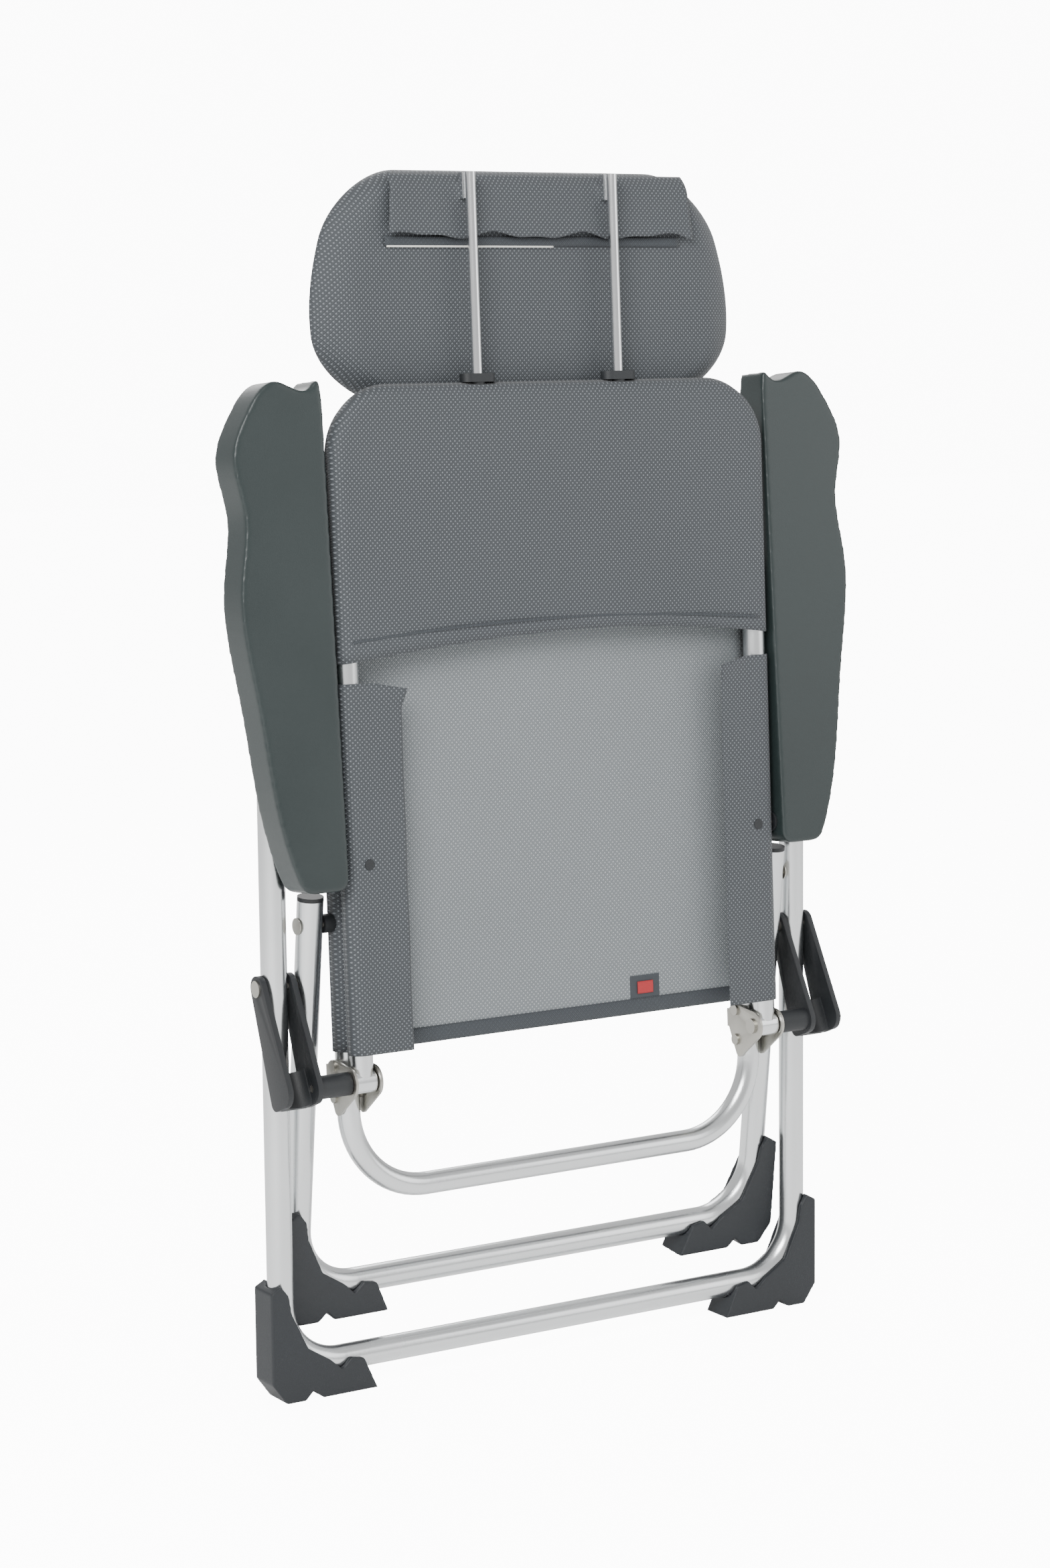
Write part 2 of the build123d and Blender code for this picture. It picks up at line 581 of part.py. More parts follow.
for name, side in SIDES:
    with BuildPart() as armrest:
        with BuildSketch(ARM.offset(-ARM_FRONT)) as plan:
            make_face(arm_outline(side))
            tail_corners = plan.vertices().group_by(Axis.Y)[0].sort_by(Axis.X)
            fillet(tail_corners[0 if side > 0 else -1], ARM_CORNER_R)
        extrude(amount=ARM_FRONT + ARM_REAR)
        with BuildSketch(ARM.offset(-ARM_FRONT)):
            make_face(arm_outline(side, ARM_WALL))
        extrude(amount=ARM_FRONT + ARM_REAR - ARM_WALL, mode=Mode.SUBTRACT)
        x_cylinder(
            side * (ARM_IN - 1), side * (lug_out + 1), arm_y, arm_z, ARM_BUSH_R + RUN_FIT, Mode.SUBTRACT
        )
    armrest.part.label = f"armrest_{name}"
    export_step(armrest.part, f"parts/armrest_{name}.step")

with BuildPart() as armrest_bushes:
    for _, side in SIDES:
        x_cylinder(side * (CLOTH_OUT + 0.3), side * (ARM_IN - 0.2), arm_y, arm_z, ARM_BUSH_R + 3)
        x_cylinder(side * (ARM_IN - 0.2), side * (lug_out + 0.2), arm_y, arm_z, ARM_BUSH_R)
        x_cylinder(side * CLOTH_OUT, side * (lug_out + 1), arm_y, arm_z, PIN_R + RUN_FIT, Mode.SUBTRACT)
armrest_bushes.part.label = "armrest_bushes"
export_step(armrest_bushes.part, "parts/armrest_bushes.step")

with BuildPart() as armrest_bolts:
    for _, side in SIDES:
        inboard = FRAME_X - FRAME_TUBE_R
        x_cylinder(side * (inboard - 4), side * inboard, arm_y, arm_z, PIN_R * 2)
        x_cylinder(side * inboard, side * (lug_out + 0.5), arm_y, arm_z, PIN_R)
        x_cylinder(side * (lug_out + 0.5), side * (lug_out + BOLT_NUT_T), arm_y, arm_z, PIN_R * 2)
armrest_bolts.part.label = "armrest_bolts"
export_step(armrest_bolts.part, "parts/armrest_bolts.step")

for name, side in SIDES:
    rack_x = side * (ARM_IN + ARM_WALL)
    rack_len = RACK_NOTCHES * RACK_PITCH
    with BuildPart() as rack:
        middle = RACK_START + rack_len / 2
        rack_centre = (rack_x + side * RACK_T / 2, middle, -ARM_FRONT + RACK_DEPTH / 2 + 1)
        with Locations(ARM * Location(rack_centre)):
            Box(RACK_T, rack_len, RACK_DEPTH)
        for notch in range(RACK_NOTCHES):
            along = RACK_START + (notch + 0.5) * RACK_PITCH
            with Locations(ARM * Location((rack_x, along, -ARM_FRONT + 1), (0, 90, 0))):
                Cylinder(PIN_R + 1, 4 * RACK_T, mode=Mode.SUBTRACT)
    rack.part.label = f"recline_rack_{name}"
    export_step(rack.part, f"parts/recline_rack_{name}.step")

# ---------------------------------------------------------------- headrest
with BuildPart() as rod_bushes:
    for _, side in SIDES:
        with Locations(BACK * Location((side * ROD_X, BACK_TOP + 2, 0), (90, 0, 0))):
            Cylinder(ROD_BUSH_R, 30)
        collar_foot = (side * ROD_X, BACK_TOP + FRAME_TUBE_R + 2, 0)
        with BuildSketch(Plane(BACK * Location(collar_foot, (-90, 0, 0)))):
            SlotOverall(36, 16)
        extrude(amount=8)
        with Locations(BACK * Location((side * ROD_X, BACK_TOP, 0), (90, 0, 0))):
            Cylinder(ROD_R + RUN_FIT, 80, mode=Mode.SUBTRACT)
rod_bushes.part.label = "rod_bushes"
export_step(rod_bushes.part, "parts/rod_bushes.step")

rod_length = ROD_TAIL + ROD_TOP
with BuildPart() as headrest_rods:
    for _, side in SIDES:
        with Locations(BACK * Location((side * ROD_X, BACK_TOP + (ROD_TOP - ROD_TAIL) / 2, 0), (90, 0, 0))):
            Cylinder(ROD_R, rod_length)
headrest_rods.part.label = "headrest_rods"
export_step(headrest_rods.part, "parts/headrest_rods.step")

with BuildPart() as rod_tabs:
    for _, side in SIDES:
        middle = BACK_TOP + ROD_TOP - TAB_LEN / 2
        with Locations(BACK * Location((side * ROD_X, middle, -(ROD_R + FLAP_GAP) / 2))):
            Box(12, TAB_LEN, FLAP_GAP - ROD_R)
rod_tabs.part.label = "rod_tabs"
export_step(rod_tabs.part, "parts/rod_tabs.step")

with BuildPart() as headrest_pad:
    with BuildSketch(BACK.offset(-FLAP_GAP - FLAP_T)):
        with BuildLine():
            half = Spline(
                (0, BACK_TOP + HEAD_LOW),
                (HEAD_HALF_W - 70, BACK_TOP + HEAD_LOW + 2),
                (HEAD_HALF_W - 18, BACK_TOP + HEAD_LOW + 34),
                (HEAD_HALF_W, BACK_TOP + 86),
                (HEAD_HALF_W - 8, BACK_TOP + 146),
                (HEAD_TOP_HALF_W + 8, BACK_TOP + HEAD_HIGH - 22),
                (HEAD_TOP_HALF_W - 50, BACK_TOP + HEAD_HIGH - 1),
                (0, BACK_TOP + HEAD_HIGH),
                tangents=((1, 0), (-1, 0)),
            )
            mirror(half, about=Plane.YZ)
        make_face()
    extrude(amount=-HEAD_T)
headrest_pad.part.label = "headrest_pad"
export_step(headrest_pad.part, "parts/headrest_pad.step")

with BuildPart() as headrest_flap:
    with BuildSketch(BACK.offset(-FLAP_GAP)):
        with BuildLine():
            Polyline(
                (-HEAD_TOP_HALF_W + 11, BACK_TOP + FLAP_LOW),
                (HEAD_TOP_HALF_W - 19, BACK_TOP + FLAP_LOW),
                (HEAD_TOP_HALF_W - 8, BACK_TOP + HEAD_HIGH - 10),
                (-HEAD_TOP_HALF_W + 8, BACK_TOP + HEAD_HIGH - 10),
                close=True,
            )
        make_face()
    extrude(amount=-FLAP_T)
headrest_flap.part.label = "headrest_flap"
export_step(headrest_flap.part, "parts/headrest_flap.step")
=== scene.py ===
# %% [markdown]
# # A folded camping armchair
# The chair stands folded flat on its rear leg frame. Its tubes, hinges and moulded parts come from the CAD
# model, which also says where every pivot is. This file gives them their finishes, rounds the moulded
# parts, and makes the cloth: the backrest cover with its pocket and hems, the seat cover and the headrest.

# %% Load the frame
import json
import math

import bpy
from mathutils import Matrix, Vector

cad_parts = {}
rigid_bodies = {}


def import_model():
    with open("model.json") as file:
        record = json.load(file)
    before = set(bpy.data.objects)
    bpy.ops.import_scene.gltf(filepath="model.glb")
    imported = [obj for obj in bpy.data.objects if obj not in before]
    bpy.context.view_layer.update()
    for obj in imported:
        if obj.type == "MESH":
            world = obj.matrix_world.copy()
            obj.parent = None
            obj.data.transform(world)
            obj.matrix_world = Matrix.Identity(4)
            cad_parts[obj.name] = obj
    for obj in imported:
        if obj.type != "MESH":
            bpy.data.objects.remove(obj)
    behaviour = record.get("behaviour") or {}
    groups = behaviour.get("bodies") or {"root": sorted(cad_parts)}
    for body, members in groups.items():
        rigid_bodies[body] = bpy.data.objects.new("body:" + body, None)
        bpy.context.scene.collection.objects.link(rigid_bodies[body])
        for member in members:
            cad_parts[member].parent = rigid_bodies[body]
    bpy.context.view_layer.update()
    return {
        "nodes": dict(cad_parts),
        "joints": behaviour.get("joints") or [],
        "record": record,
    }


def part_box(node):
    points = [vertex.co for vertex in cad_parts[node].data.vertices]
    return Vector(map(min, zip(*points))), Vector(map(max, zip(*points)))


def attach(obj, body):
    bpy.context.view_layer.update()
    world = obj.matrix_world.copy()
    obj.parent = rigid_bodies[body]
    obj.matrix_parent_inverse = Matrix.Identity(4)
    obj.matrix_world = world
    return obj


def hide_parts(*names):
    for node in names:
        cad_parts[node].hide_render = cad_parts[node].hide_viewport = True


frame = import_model()
MM = 0.001
joints = {joint["name"]: joint for joint in frame["joints"]}

# %% [markdown]
# ## Places on the folded chair
# Each folded member is a flat thing that leans a little. A point on it is said by three numbers: across the
# chair, up along the member, and out towards the rear. The hinge and the lean come from the joints.

# %% Member frames
ACROSS = Vector((1, 0, 0))
hinge = Vector(joints["back_rise"]["pos_m"])
back_up = Vector(joints["headrest_slide"]["axis"]).normalized()
back_rear = ACROSS.cross(back_up)
TUBE_R = 11 * MM
CLOTH_R = 12.5 * MM
FRAME_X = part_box("back_frame_tube")[1].x - TUBE_R
SEAT_OFFSET = 28.5 * MM


def back_point(across, along, rear=0.0):
    """World place of a point of the backrest."""
    return hinge + ACROSS * across + back_up * along + back_rear * rear


def seat_point(across, along, rear=0.0):
    """World place of a point of the seat, which lies in front of the backrest."""
    return back_point(across, along, rear - SEAT_OFFSET)


print("backrest tube at", round(FRAME_X, 4), "from the middle")

# %% [markdown]
# ## Finishes
# Each finish starts from what the thing is made of. The patterns are sized in millimetres: cloth patterns
# follow the cloth's own map, which is in metres, and the others follow the piece itself.


# %% Material helpers
def linear(hex_colour):
    """sRGB hex colour as linear RGBA."""
    parts = [int(hex_colour[i : i + 2], 16) / 255 for i in (1, 3, 5)]
    return [c / 12.92 if c <= 0.04045 else ((c + 0.055) / 1.055) ** 2.4 for c in parts] + [1.0]


def add_node(tree, kind, inputs=None, **settings):
    """Adds one node with its settings, and sets or links its inputs."""
    node = tree.nodes.new(kind)
    for key, value in settings.items():
        setattr(node, key, value)
    for key, value in (inputs or {}).items():
        if isinstance(value, bpy.types.NodeSocket):
            tree.links.new(value, node.inputs[key])
        else:
            node.inputs[key].default_value = value
    return node


def new_material(name, **shader):
    """Material with its Principled shader's plain numbers set. Underscores stand for spaces."""
    material = bpy.data.materials.new(name)
    material.use_nodes = True
    bsdf = material.node_tree.nodes["Principled BSDF"]
    for key, value in shader.items():
        bsdf.inputs[key.replace("_", " ")].default_value = value
    return material, material.node_tree, bsdf


# %% [markdown]
# ### Drawn aluminium tube
# Drawn and anodised tube has very fine scratches along and around it, so its gloss is soft, with light
# smudges where hands have been.


# %% Metals
def metal(name, colour, low, high, grain_mm, stretch):
    """Metal whose roughness varies between two values in smudges, with fine stretched scratches."""
    material, tree, bsdf = new_material(name, Metallic=1.0, Base_Color=linear(colour))
    place = add_node(tree, "ShaderNodeTexCoord")
    smudge = add_node(
        tree, "ShaderNodeTexNoise", {"Vector": place.outputs["Object"], "Scale": 14.0, "Detail": 4.0}
    )
    rough = add_node(
        tree, "ShaderNodeMapRange", {"Value": smudge.outputs["Fac"], "To Min": low, "To Max": high}
    )
    tree.links.new(rough.outputs["Result"], bsdf.inputs["Roughness"])
    squeeze = add_node(tree, "ShaderNodeMapping", {"Vector": place.outputs["Object"], "Scale": stretch})
    scratch = add_node(
        tree,
        "ShaderNodeTexNoise",
        {"Vector": squeeze.outputs["Vector"], "Scale": 1 / (grain_mm * MM), "Detail": 2.0},
    )
    bump = add_node(
        tree,
        "ShaderNodeBump",
        {"Height": scratch.outputs["Fac"], "Strength": 0.12, "Distance": 0.0003},
    )
    tree.links.new(bump.outputs["Normal"], bsdf.inputs["Normal"])
    return material


aluminium = metal("anodised_aluminium", "#dfe1e2", 0.16, 0.34, 3.0, (1.0, 1.0, 0.15))
zinc_steel = metal("zinc_plated_steel", "#b3b1aa", 0.28, 0.5, 2.0, (1.0, 1.0, 1.0))
rod_steel = metal("polished_steel_rod", "#e8e9ea", 0.08, 0.2, 3.0, (1.0, 1.0, 0.1))


# %% [markdown]
# ### Moulded plastic
# The feet and links are nylon with a fine spark-eroded grain; the armrests are a smoother satin plastic.
# The real grain is about 0.2 mm, too fine to show, so it is drawn at 1 mm.


# %% Plastics
def plastic(name, colour, worn, low, high, grain_mm, depth):
    """Moulded plastic: even colour with faint clouding, grain as bump."""
    material, tree, bsdf = new_material(name)
    bsdf.inputs["IOR"].default_value = 1.5
    place = add_node(tree, "ShaderNodeTexCoord")
    cloud = add_node(
        tree, "ShaderNodeTexNoise", {"Vector": place.outputs["Object"], "Scale": 9.0, "Detail": 5.0}
    )
    tint = add_node(
        tree,
        "ShaderNodeMixRGB",
        {"Fac": cloud.outputs["Fac"], "Color1": linear(colour), "Color2": linear(worn)},
    )
    tree.links.new(tint.outputs[0], bsdf.inputs["Base Color"])
    rough = add_node(
        tree, "ShaderNodeMapRange", {"Value": cloud.outputs["Fac"], "To Min": low, "To Max": high}
    )
    tree.links.new(rough.outputs["Result"], bsdf.inputs["Roughness"])
    grain = add_node(
        tree,
        "ShaderNodeTexNoise",
        {"Vector": place.outputs["Object"], "Scale": 1 / (grain_mm * MM), "Detail": 1.0},
    )
    bump = add_node(
        tree, "ShaderNodeBump", {"Height": grain.outputs["Fac"], "Strength": depth, "Distance": 0.0004}
    )
    tree.links.new(bump.outputs["Normal"], bsdf.inputs["Normal"])
    return material


black_nylon = plastic("black_nylon", "#17191b", "#24272a", 0.42, 0.62, 1.0, 0.25)
slate_nylon = plastic("slate_nylon", "#181b1f", "#22262a", 0.42, 0.62, 1.0, 0.25)
grey_satin = plastic("slate_satin_plastic", "#1f2828", "#293232", 0.3, 0.45, 1.0, 0.12)


# %% [markdown]
# ### Woven mesh
# The cloth is polyester mesh coated with PVC. Its outer face is dark slate with small light flecks in
# diagonal rows, and its reverse is a lighter grey. Threads lie about 1 mm apart; they are drawn at 2.4 mm.


# %% Cloths
THREAD = 2.4 * MM
FLECK = 4.8 * MM


def waves(tree, uv, axis, period):
    """Sine of one map coordinate, with a real period in metres."""
    turn = add_node(
        tree, "ShaderNodeMath", {0: uv.outputs[axis], 1: 2 * math.pi / period}, operation="MULTIPLY"
    )
    return add_node(tree, "ShaderNodeMath", {0: turn.outputs[0]}, operation="SINE")


def woven(name, ground, fleck, fleck_amount, shade):
    """Coated mesh: threads as bump, flecks in diagonal rows, soft large clouding."""
    material, tree, bsdf = new_material(name, Roughness=0.62)
    bsdf.inputs["Sheen Weight"].default_value = 0.12
    uv_map = add_node(tree, "ShaderNodeUVMap")
    uv = add_node(tree, "ShaderNodeSeparateXYZ", {"Vector": uv_map.outputs["UV"]})
    dots = add_node(
        tree,
        "ShaderNodeMath",
        {0: waves(tree, uv, "X", FLECK).outputs[0], 1: waves(tree, uv, "Y", FLECK).outputs[0]},
        operation="MULTIPLY",
    )
    dot_mask = add_node(
        tree,
        "ShaderNodeMapRange",
        {"Value": dots.outputs[0], "From Min": 0.45, "From Max": 0.75, "To Max": fleck_amount},
    )
    place = add_node(tree, "ShaderNodeTexCoord")
    cloud = add_node(
        tree, "ShaderNodeTexNoise", {"Vector": place.outputs["Object"], "Scale": 6.0, "Detail": 6.0}
    )
    base = add_node(
        tree,
        "ShaderNodeMixRGB",
        {"Fac": cloud.outputs["Fac"], "Color1": linear(ground), "Color2": linear(shade)},
    )
    colour = add_node(
        tree,
        "ShaderNodeMixRGB",
        {"Fac": dot_mask.outputs["Result"], "Color1": base.outputs[0], "Color2": linear(fleck)},
    )
    tree.links.new(colour.outputs[0], bsdf.inputs["Base Color"])
    weave = add_node(
        tree,
        "ShaderNodeMath",
        {0: waves(tree, uv, "X", THREAD).outputs[0], 1: waves(tree, uv, "Y", THREAD).outputs[0]},
        operation="MULTIPLY",
    )
    bump = add_node(
        tree, "ShaderNodeBump", {"Height": weave.outputs[0], "Strength": 0.5, "Distance": 0.0005}
    )
    tree.links.new(bump.outputs["Normal"], bsdf.inputs["Normal"])
    return material


outer_cloth = woven("coated_mesh_outer", "#35393d", "#7d8287", 0.8, "#3d4145")
reverse_cloth = woven("coated_mesh_reverse", "#6c7174", "#b2b5b7", 0.7, "#767b7e")
binding = woven("hem_binding", "#2b3035", "#4a5157", 0.3, "#33383d")
red_band, _, _ = new_material("red_band", Base_Color=linear("#a3262a"), Roughness=0.6)
thread_white, _, _ = new_material("white_thread", Base_Color=linear("#d8d8d2"), Roughness=0.7)

FINISHES = {
    "leg_tube": aluminium,
    "frame_tube": aluminium,
    "zinc_steel": zinc_steel,
    "rod_steel": rod_steel,
    "black_plastic": black_nylon,
    "grey_plastic": grey_satin,
    "mesh_cloth": outer_cloth,
    "hem_cloth": outer_cloth,
    "pad_cloth": outer_cloth,
    "label_cloth": binding,
}
slots = {part["node"]: part["material_slot"] for part in frame["record"]["subparts"]}
for node_name, node_object in frame["nodes"].items():
    node_object.data.materials.clear()
    node_object.data.materials.append(FINISHES[slots[node_name]])
print(len(slots), "nodes finished")


# %% [markdown]
# ## Rounding the moulded parts
# A moulded part has no sharp edge. Each one is copied from its CAD node, its flat faces are joined up again,
# and its edges are bevelled. The feet and armrests are thicker and softer, so they are smoothed all over.


# %% Rounding
def only(piece):
    """Selects one object alone and makes it active."""
    bpy.ops.object.select_all(action="DESELECT")
    piece.select_set(True)
    bpy.context.view_layer.objects.active = piece


def finish_piece(piece, body, slot, *nodes):
    """Rides a piece on its body and hides the CAD nodes it stands for."""
    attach(piece, body)
    if nodes:
        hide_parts(*nodes)


def node_copy(node_name):
    """Free copy of a CAD node."""
    only(frame["nodes"][node_name])
    bpy.ops.object.duplicate()
    piece = bpy.context.object
    piece.name = node_name + "_moulded"
    bpy.ops.object.parent_clear(type="CLEAR_KEEP_TRANSFORM")
    return piece


def rounded_copy(node_name, width):
    """Copy of a CAD node with its edges bevelled."""
    piece = node_copy(node_name)
    bpy.ops.object.mode_set(mode="EDIT")
    bpy.ops.mesh.select_all(action="SELECT")
    bpy.ops.mesh.remove_doubles(threshold=0.00002)
    bpy.ops.mesh.dissolve_limited(angle_limit=math.radians(1.0))
    bpy.ops.object.mode_set(mode="OBJECT")
    bevel = piece.modifiers.new("round", "BEVEL")
    bevel.width = width
    bevel.segments = 3
    bevel.limit_method = "ANGLE"
    bevel.angle_limit = math.radians(35)
    bevel.use_clamp_overlap = True
    bpy.ops.object.modifier_apply(modifier="round")
    bpy.ops.object.shade_smooth_by_angle(angle=math.radians(30))
    return piece


def soft_copy(node_name, voxel, rounds, keep, material):
    """Copy of a CAD node with every edge rounded soft, as on a thick moulding."""
    piece = node_copy(node_name)
    remesh = piece.modifiers.new("remesh", "REMESH")
    remesh.mode = "VOXEL"
    remesh.voxel_size = voxel
    bpy.ops.object.modifier_apply(modifier="remesh")
    smooth = piece.modifiers.new("smooth", "SMOOTH")
    smooth.factor = 0.5
    smooth.iterations = rounds
    bpy.ops.object.modifier_apply(modifier="smooth")
    thin = piece.modifiers.new("thin", "DECIMATE")
    thin.ratio = keep
    bpy.ops.object.modifier_apply(modifier="thin")
    bpy.ops.object.shade_smooth()
    piece.data.materials.clear()
    piece.data.materials.append(material)
    return piece


EDGE_WIDTHS = {"side_link": 1.2, "hinge_bracket": 0.5}
FOOT_VOXEL = 1.2 * MM
ARMREST_VOXEL = 1.5 * MM
bodies = frame["record"]["behaviour"]["bodies"]
body_of_node = {name: body for body, names in bodies.items() for name in names}
for side in ("left", "right"):
    for stem, width in EDGE_WIDTHS.items():
        node_name = f"{stem}_{side}"
        piece = rounded_copy(node_name, width * MM)
        finish_piece(piece, body_of_node[node_name], slots[node_name], node_name)
    for stem in ("outer_foot", "inner_foot"):
        node_name = f"{stem}_{side}"
        piece = soft_copy(node_name, FOOT_VOXEL, 6, 0.3, slate_nylon)
        finish_piece(piece, body_of_node[node_name], slots[node_name], node_name)
    node_name = f"armrest_{side}"
    piece = soft_copy(node_name, ARMREST_VOXEL, 18, 0.2, grey_satin)
    finish_piece(piece, "armrests", "grey_plastic", node_name)
print("moulded parts rounded")

# %% [markdown]
# ## Cloth over the tube frames
# The backrest cover is one tube of mesh: pulled over the frame at the top like a pillowcase, which makes a
# pocket behind, and hemmed round the side tubes lower down. A grid is laid on the cover's outline, its upper
# corners are turned round like the tube's bends, and near the edge it follows the tube's roundness.


# %% Cloth helpers
def corner_turn(across, along, half_w, top, radius):
    """Moves a point of a rectangle into the same rectangle with round upper corners."""
    a = (abs(across) - (half_w - radius)) / radius
    b = (along - (top - radius)) / radius
    if a <= 0 or b <= 0:
        return across, along, min(half_w - abs(across), top - along)
    shrink = max(a, b) / math.hypot(a, b)
    a, b = a * shrink, b * shrink
    x = math.copysign(half_w - radius + a * radius, across)
    return x, top - radius + b * radius, radius * (1 - math.hypot(a, b))


def tube_profile(depth):
    """How far the cloth stands from the frame's plane at a depth in from the outline."""
    if depth >= CLOTH_R:
        return CLOTH_R
    return math.sqrt(max(CLOTH_R**2 - (CLOTH_R - depth) ** 2, 0.0))


def cloth_grid(name, columns, rows, shape, thick=1.0 * MM, material=outer_cloth):
    """Sheet of cloth: a grid placed by shape(u, v), mapped by metres across and along the chair."""
    bpy.ops.object.select_all(action="DESELECT")
    bpy.ops.mesh.primitive_grid_add(x_subdivisions=columns, y_subdivisions=rows, size=1)
    piece = bpy.context.object
    piece.name = name
    for vertex in piece.data.vertices:
        vertex.co = shape(vertex.co.x + 0.5, vertex.co.y + 0.5)
    cloth_map = piece.data.uv_layers[0].data
    for loop in piece.data.loops:
        place = piece.data.vertices[loop.vertex_index].co
        cloth_map[loop.index].uv = (place.x, (place - hinge).dot(back_up))
    piece.data.materials.append(material)
    solid = piece.modifiers.new("thickness", "SOLIDIFY")
    solid.thickness = thick
    solid.offset = 0
    bpy.ops.object.modifier_apply(modifier="thickness")
    bpy.ops.object.shade_smooth()
    return piece


def spread(value, crowd):
    """Moves grid lines of 0..1 towards both ends, where the cloth turns round a tube."""
    centred = 2 * value - 1
    return 0.5 + 0.5 * math.copysign(abs(centred) ** crowd, centred)


EDGE = FRAME_X + CLOTH_R
BACK_TOP = 633 * MM + CLOTH_R
BACK_LOW = 26 * MM
BACK_CORNER = 52 * MM + CLOTH_R
POCKET_ARCH = 14 * MM


def back_sheet(sign, low, wave):
    """Shape of the front panel (sign -1) or of the pocket behind (sign +1)."""

    def shape(u, v):
        across = (2 * spread(u, 0.6) - 1) * EDGE
        along = low + (BACK_TOP - low) * v**0.8
        x, s, depth = corner_turn(across, along, EDGE, BACK_TOP, BACK_CORNER)
        slack = wave * math.sin(x * 21) * math.sin(s * 17 + 1.3) * min(depth / 0.05, 1)
        arch = POCKET_ARCH * (1 - (x / EDGE) ** 2) * (1 - v) ** 3
        sag = arch + 3 * MM * math.sin(x * 9 + 0.6) * (1 - v) ** 6 if sign > 0 else 0
        return back_point(x, s + sag, sign * (tube_profile(depth) + slack))

    return shape


# %% Backrest cover
front_panel = cloth_grid("back_front_panel", 90, 110, back_sheet(-1, BACK_LOW, 0.0))
finish_piece(front_panel, "backrest", "mesh_cloth", "back_mesh")
POCKET_LOW = 393 * MM
pocket = cloth_grid("back_top_pocket", 90, 60, back_sheet(1, POCKET_LOW, 0.9 * MM))
finish_piece(pocket, "backrest", "hem_cloth", "back_pocket")
print("backrest cover made")

HEM_W = 62 * MM
HEM_TOP = 372 * MM


def hem_shape(side, member, sign, low, high, corner_curl):
    """Shape of a side hem: round the tube and a hand's width inboard, with a lifted upper corner."""

    def shape(u, v):
        depth = (u**1.3) * HEM_W
        x = side * (EDGE - depth)
        s = low + (high - low) * v
        curl = corner_curl * max(u - 0.6, 0) / 0.4 * max(v - 0.93, 0) / 0.07
        ripple = 0.6 * MM * math.sin(s * 60) * u**2
        return member(x - side * curl * 0.5, s - curl, sign * (tube_profile(depth) + ripple + curl))

    return shape


for side_name, side in (("left", -1), ("right", 1)):
    hem = cloth_grid(
        f"back_side_hem_{side_name}",
        24,
        90,
        hem_shape(side, back_point, 1, BACK_LOW, HEM_TOP, 7 * MM),
    )
    finish_piece(hem, "backrest", "hem_cloth", f"back_hem_{side_name}")
print("side hems made")

# %% [markdown]
# ### The cover's reverse
# Between the hems the back of the front panel shows, in the cloth's lighter reverse. Cloth has one colour a
# side, so a second thin layer lies on the panel's back, and a narrow bound edge closes it below.

# %% Reverse face and bound edges
reverse_half = FRAME_X - TUBE_R + 6 * MM


def reverse_shape(u, v):
    """Flat inner face of the front panel."""
    x = (2 * u - 1) * reverse_half
    s = BACK_LOW + 4 * MM + (POCKET_LOW + 30 * MM - BACK_LOW) * v
    return back_point(x, s, -CLOTH_R + 1.2 * MM)


reverse = cloth_grid("back_reverse", 40, 40, reverse_shape, 0.6 * MM, reverse_cloth)
finish_piece(reverse, "backrest", "mesh_cloth")


def strip(name, member, start, end, width, rear, body, slot, material, bulge=1.0 * MM, arch=0.0):
    """Narrow bound edge between two points of a member, as a flat ribbon with rounded faces."""
    run = Vector((end[0] - start[0], end[1] - start[1], 0))
    normal = Vector((-run.y, run.x, 0)).normalized() * width / 2

    def shape(u, v):
        at = Vector((start[0], start[1], 0)) + run * u + normal * (2 * v - 1)
        rise = arch * (1 - (2 * u - 1) ** 2)
        return member(at.x, at.y + rise, rear + bulge * (1 - (2 * v - 1) ** 2))

    piece = cloth_grid(name, 60, 6, shape, 0.8 * MM, material)
    finish_piece(piece, body, slot)
    return piece


strip(
    "back_bottom_hem",
    back_point,
    (-reverse_half, BACK_LOW + 8 * MM),
    (reverse_half, BACK_LOW + 8 * MM),
    15 * MM,
    -CLOTH_R + 2 * MM,
    "backrest",
    "hem_cloth",
    binding,
)
strip(
    "pocket_seam",
    back_point,
    (-EDGE + 14 * MM, POCKET_LOW + 17 * MM),
    (EDGE - 14 * MM, POCKET_LOW + 17 * MM),
    2.2 * MM,
    CLOTH_R + 0.8 * MM,
    "backrest",
    "hem_cloth",
    binding,
    0.5 * MM,
    POCKET_ARCH * 0.8,
)

# %% [markdown]
# ### Small things on the cover
# A plain red patch on the label, and black discs on the side hems: painted shade standing for the holes that
# let the armrest bolts be reached.

# %% Label patch and painted shade of the bolt holes
strip(
    "label_patch",
    back_point,
    (87 * MM, BACK_LOW + 26 * MM),
    (105 * MM, BACK_LOW + 26 * MM),
    12 * MM,
    -9.9 * MM,
    "backrest",
    "label_cloth",
    red_band,
    0.2 * MM,
)
# Each bolt hole is a thin black disc laid on the hem, not a cut: painted shade for the dark inside of the
# hole.
for side_name, side in (("left", -1), ("right", 1)):
    bpy.ops.object.select_all(action="DESELECT")
    bpy.ops.mesh.primitive_cylinder_add(vertices=24, radius=5 * MM, depth=0.8 * MM)
    hole_shade_disc = bpy.context.object
    hole_shade_disc.name = f"hem_bolt_hole_shade_disc_{side_name}"
    hole_shade_disc.rotation_mode = "QUATERNION"
    hole_shade_disc.rotation_quaternion = back_rear.to_track_quat("Z", "Y")
    hole_shade_disc.location = back_point(side * (EDGE - 22 * MM), 204 * MM, tube_profile(22 * MM) + 0.8 * MM)
    hole_shade_disc.data.materials.append(black_nylon)
    finish_piece(hole_shade_disc, "backrest", "hem_cloth")
print("small things made")

# %% [markdown]
# ## Seat cover
# The seat faces the backrest when the chair is folded. Its mesh is laid over the tubes on that side and
# hemmed round them underneath, which is the side that faces forwards now.

# %% Seat cover
SEAT_TOP = 478 * MM + CLOTH_R
SEAT_LOW = 26 * MM
SEAT_CORNER = 48 * MM + CLOTH_R


